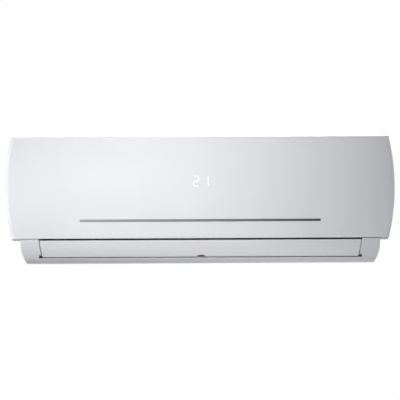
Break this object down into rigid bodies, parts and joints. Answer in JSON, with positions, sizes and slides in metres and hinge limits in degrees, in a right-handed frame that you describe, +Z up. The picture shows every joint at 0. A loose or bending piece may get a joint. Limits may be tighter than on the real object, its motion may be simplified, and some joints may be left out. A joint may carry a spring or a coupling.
{
  "type": "mini split indoor unit",
  "caption": "White wall-hung indoor unit of a split air conditioner, panel, flap, vanes, fan, coil and wall plate.",
  "frame": {"origin": "centre of the wall plate's four screw holes, on the wall plane", "axes": "+X along the unit's length to its right seen from the room, +Y into the wall, +Z up"},
  "size_m": [0.8448, 0.18, 0.2751],
  "materials": {
    "panel_white": "gloss",
    "casing_white": "satin",
    "flap_white": "gloss",
    "trim_metal": "brushed",
    "filter_grey": "matte",
    "dark_plastic": "matte",
    "bearing_plastic": "matte",
    "bearing_metal": "satin",
    "shaft_steel": "satin",
    "motor_steel": "satin",
    "black_rubber": "matte",
    "chassis_plastic": "matte",
    "zinc_steel": "spangled",
    "tray_plastic": "matte",
    "fin_aluminium": "satin",
    "copper_tube": "satin",
    "brass_nut": "satin",
    "box_plastic": "matte",
    "board_green": "satin",
    "button_grey": "satin",
    "digit_module": "satin",
    "vane_plastic": "matte"
  },
  "bodies": {
    "housing": {"front_casing": "casing_white", "top_intake_grille": "casing_white", "flap_middle_bearing": "dark_plastic", "flap_end_bushes": "bearing_plastic", "flap_step_motor": "motor_steel", "fan_bearing_bush": "bearing_metal", "fan_bearing_cup": "black_rubber", "fan_motor": "motor_steel", "fan_motor_rubbers": "black_rubber", "fan_motor_cover": "chassis_plastic", "rear_chassis": "chassis_plastic", "wall_plate": "zinc_steel", "drain_tray": "tray_plastic", "drain_plug": "black_rubber", "evaporator_front_fins": "fin_aluminium", "evaporator_upper_fins": "fin_aluminium", "evaporator_rear_fins": "fin_aluminium", "evaporator_left_plate": "zinc_steel", "evaporator_right_plate": "zinc_steel", "evaporator_return_bends": "copper_tube", "coil_header": "copper_tube", "gas_pipe": "copper_tube", "liquid_pipe": "copper_tube", "gas_flare_nut": "brass_nut", "liquid_flare_nut": "brass_nut", "pipe_clamp": "chassis_plastic", "electric_box": "box_plastic", "electric_box_cover": "zinc_steel", "control_board": "board_green", "terminal_block": "box_plastic", "aux_switch": "dark_plastic", "display_board": "board_green", "display_digits": "digit_module"},
    "front_panel": {"front_panel": "panel_white", "panel_trim_strip": "trim_metal"},
    "outlet_flap": {"outlet_flap": "flap_white", "flap_motor_shaft": "shaft_steel"},
    "fan": {"cross_flow_fan": "dark_plastic", "fan_end_shaft": "shaft_steel", "fan_motor_shaft": "shaft_steel"},
    "filter_left": {"air_filter_left": "filter_grey"},
    "filter_right": {"air_filter_right": "filter_grey"},
    "aux_button": {"aux_button": "button_grey"},
    "left_vane_1": {"left_vane_1": "vane_plastic"},
    "left_vane_2": {"left_vane_2": "vane_plastic"},
    "left_vane_3": {"left_vane_3": "vane_plastic"},
    "left_vane_4": {"left_vane_4": "vane_plastic"},
    "left_vane_5": {"left_vane_5": "vane_plastic"},
    "left_link": {"left_vane_link": "vane_plastic"},
    "right_vane_1": {"right_vane_1": "vane_plastic"},
    "right_vane_2": {"right_vane_2": "vane_plastic"},
    "right_vane_3": {"right_vane_3": "vane_plastic"},
    "right_vane_4": {"right_vane_4": "vane_plastic"},
    "right_vane_5": {"right_vane_5": "vane_plastic"},
    "right_link": {"right_vane_link": "vane_plastic"}
  },
  "joints": [
    {"name": "front_panel_lift", "type": "hinge", "parent": "housing", "child": "front_panel", "pos_m": [0, -0.162, 0.1315], "axis": [-1, 0, 0], "range_deg": [0, 60]},
    {"name": "outlet_flap_turn", "type": "hinge", "parent": "housing", "child": "outlet_flap", "pos_m": [0, -0.15533, -0.11791], "axis": [1, 0, 0], "range_deg": [0, 80]},
    {"name": "fan_spin", "type": "hinge", "parent": "housing", "child": "fan", "pos_m": [-0.015, -0.08, -0.034], "axis": [1, 0, 0], "continuous": true},
    {"name": "filter_left_slide", "type": "slide", "parent": "housing", "child": "filter_left", "axis": [0, 0, 1], "range_m": [0, 0.2]},
    {"name": "filter_right_slide", "type": "slide", "parent": "housing", "child": "filter_right", "axis": [0, 0, 1], "range_m": [0, 0.2]},
    {"name": "aux_button_press", "type": "slide", "parent": "housing", "child": "aux_button", "axis": [0, 1, 0], "range_m": [0, 0.001], "stiffness_N_per_m": 300, "springref_m": -0.001},
    {"name": "left_vane_1_swing", "type": "hinge", "parent": "housing", "child": "left_vane_1", "pos_m": [-0.2949, -0.118, -0.11165], "axis": [0, -0.2079, 0.9781], "range_deg": [-35, 35]},
    {"name": "left_vane_2_swing", "type": "hinge", "parent": "housing", "child": "left_vane_2", "pos_m": [-0.2327, -0.118, -0.11165], "axis": [0, -0.2079, 0.9781], "range_deg": [-35, 35]},
    {"name": "left_vane_3_swing", "type": "hinge", "parent": "housing", "child": "left_vane_3", "pos_m": [-0.1705, -0.118, -0.11165], "axis": [0, -0.2079, 0.9781], "range_deg": [-35, 35]},
    {"name": "left_vane_4_swing", "type": "hinge", "parent": "housing", "child": "left_vane_4", "pos_m": [-0.1083, -0.118, -0.11165], "axis": [0, -0.2079, 0.9781], "range_deg": [-35, 35]},
    {"name": "left_vane_5_swing", "type": "hinge", "parent": "housing", "child": "left_vane_5", "pos_m": [-0.0461, -0.118, -0.11165], "axis": [0, -0.2079, 0.9781], "range_deg": [-35, 35]},
    {"name": "left_link_turn", "type": "hinge", "parent": "left_vane_1", "child": "left_link", "pos_m": [-0.2949, -0.09942, -0.1077], "axis": [0, -0.2079, 0.9781], "range_deg": [-35, 35]},
    {"name": "right_vane_1_swing", "type": "hinge", "parent": "housing", "child": "right_vane_1", "pos_m": [0.0331, -0.118, -0.11165], "axis": [0, -0.2079, 0.9781], "range_deg": [-35, 35]},
    {"name": "right_vane_2_swing", "type": "hinge", "parent": "housing", "child": "right_vane_2", "pos_m": [0.0953, -0.118, -0.11165], "axis": [0, -0.2079, 0.9781], "range_deg": [-35, 35]},
    {"name": "right_vane_3_swing", "type": "hinge", "parent": "housing", "child": "right_vane_3", "pos_m": [0.1575, -0.118, -0.11165], "axis": [0, -0.2079, 0.9781], "range_deg": [-35, 35]},
    {"name": "right_vane_4_swing", "type": "hinge", "parent": "housing", "child": "right_vane_4", "pos_m": [0.2197, -0.118, -0.11165], "axis": [0, -0.2079, 0.9781], "range_deg": [-35, 35]},
    {"name": "right_vane_5_swing", "type": "hinge", "parent": "housing", "child": "right_vane_5", "pos_m": [0.2819, -0.118, -0.11165], "axis": [0, -0.2079, 0.9781], "range_deg": [-35, 35]},
    {"name": "right_link_turn", "type": "hinge", "parent": "right_vane_1", "child": "right_link", "pos_m": [0.0331, -0.09942, -0.1077], "axis": [0, -0.2079, 0.9781], "range_deg": [-35, 35]}
  ],
  "couplings": [
    {"joint": "left_vane_2_swing", "follows": "left_vane_1_swing", "ratio": 1},
    {"joint": "left_vane_3_swing", "follows": "left_vane_1_swing", "ratio": 1},
    {"joint": "left_vane_4_swing", "follows": "left_vane_1_swing", "ratio": 1},
    {"joint": "left_vane_5_swing", "follows": "left_vane_1_swing", "ratio": 1},
    {"joint": "left_link_turn", "follows": "left_vane_1_swing", "ratio": -1},
    {"joint": "right_vane_2_swing", "follows": "right_vane_1_swing", "ratio": 1},
    {"joint": "right_vane_3_swing", "follows": "right_vane_1_swing", "ratio": 1},
    {"joint": "right_vane_4_swing", "follows": "right_vane_1_swing", "ratio": 1},
    {"joint": "right_vane_5_swing", "follows": "right_vane_1_swing", "ratio": 1},
    {"joint": "right_link_turn", "follows": "right_vane_1_swing", "ratio": -1}
  ]
}
